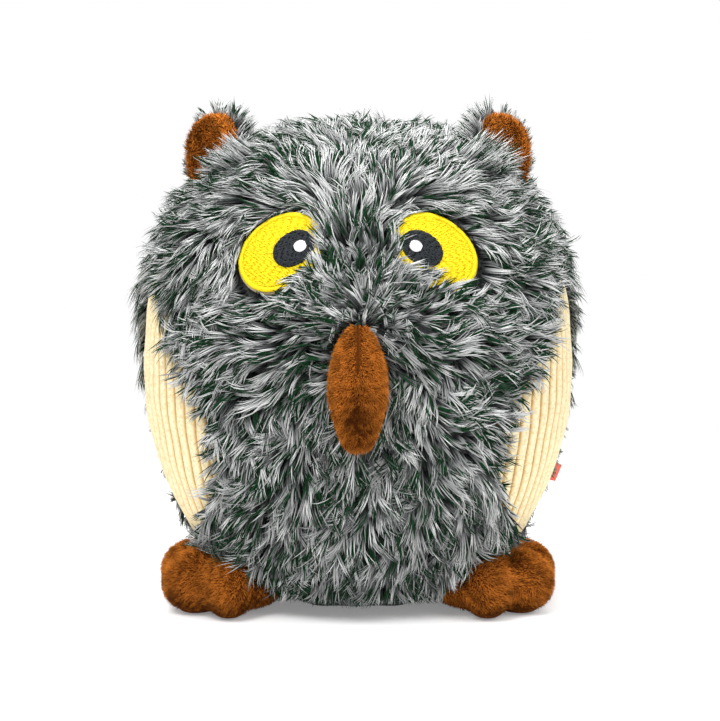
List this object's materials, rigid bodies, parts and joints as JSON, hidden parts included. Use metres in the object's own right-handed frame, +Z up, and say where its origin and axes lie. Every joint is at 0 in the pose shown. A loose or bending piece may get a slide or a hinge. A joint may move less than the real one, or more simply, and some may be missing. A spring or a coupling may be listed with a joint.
{
  "type": "plush owl",
  "caption": "Ball-shaped plush owl with long grey fur, cream corduroy sides, embroidered yellow eyes, a hanging beak, cupped ears and stuffed feet that fold at their seams",
  "frame": {"origin": "middle of the round base patch, on the surface that the toy sits on", "axes": "+Z up, -Y the way the face looks, +X the owl's own left"},
  "size_m": [0.141, 0.1434, 0.1547],
  "materials": {
    "grey_fur": "long shaggy pile with dark green tips",
    "cream_corduroy": "wide-wale corduroy",
    "base_plush": "short pile",
    "brown_plush": "short pile",
    "yellow_thread": "satin embroidery",
    "black_thread": "satin embroidery",
    "white_thread": "satin embroidery",
    "pale_felt": "felt",
    "coral_ribbon": "woven ribbon",
    "filling": "polyester fibre",
    "squeaker_plastic": "soft blow-moulded plastic"
  },
  "bodies": {
    "body": {"front_panel_left": "grey_fur", "front_panel_right": "grey_fur", "side_panel_left": "cream_corduroy", "side_panel_right": "cream_corduroy", "back_panel_left": "grey_fur", "back_panel_right": "grey_fur", "base_panel": "base_plush", "stuffing_core": "filling", "squeaker_bulb": "squeaker_plastic", "squeaker_reed": "squeaker_plastic", "eye_felt_left": "pale_felt", "eye_felt_right": "pale_felt", "eye_rim_left": "yellow_thread", "eye_rim_right": "yellow_thread", "eye_iris_left": "yellow_thread", "eye_iris_right": "yellow_thread", "eye_pupil_left": "black_thread", "eye_pupil_right": "black_thread", "eye_highlight_left": "white_thread", "eye_highlight_right": "white_thread", "seam_label": "coral_ribbon"},
    "beak": {"beak_panel_left": "brown_plush", "beak_panel_right": "brown_plush", "beak_filling": "filling"},
    "ear_left": {"ear_back_left": "grey_fur", "ear_lining_left": "brown_plush"},
    "ear_right": {"ear_back_right": "grey_fur", "ear_lining_right": "brown_plush"},
    "foot_left": {"foot_upper_left": "brown_plush", "foot_sole_left": "brown_plush", "foot_filling_left": "filling"},
    "foot_right": {"foot_upper_right": "brown_plush", "foot_sole_right": "brown_plush", "foot_filling_right": "filling"}
  },
  "joints": [
    {"name": "beak_lift", "type": "hinge", "parent": "body", "child": "beak", "pos_m": [0, -0.06134, 0.09832], "axis": [-1, 0, 0], "range_deg": [0, 30], "stiffness_Nm_per_rad": 0.02},
    {"name": "ear_left_fold", "type": "hinge", "parent": "body", "child": "ear_left", "pos_m": [0.04401, -0.00524, 0.13029], "axis": [0.8699, 0.4689, -0.153], "range_deg": [-12, 12], "stiffness_Nm_per_rad": 0.02},
    {"name": "ear_right_fold", "type": "hinge", "parent": "body", "child": "ear_right", "pos_m": [-0.04401, -0.00524, 0.13029], "axis": [0.8699, -0.4689, 0.153], "range_deg": [-12, 12], "stiffness_Nm_per_rad": 0.02},
    {"name": "foot_left_fold", "type": "hinge", "parent": "body", "child": "foot_left", "pos_m": [0.0395, -0.02, 0.01403], "axis": [-0.5299, -0.848, 0], "range_deg": [0, 22], "stiffness_Nm_per_rad": 0.05, "springref_deg": -11.46},
    {"name": "foot_right_fold", "type": "hinge", "parent": "body", "child": "foot_right", "pos_m": [-0.0395, -0.02, 0.01403], "axis": [-0.5299, 0.848, 0], "range_deg": [0, 22], "stiffness_Nm_per_rad": 0.05, "springref_deg": -11.46}
  ]
}
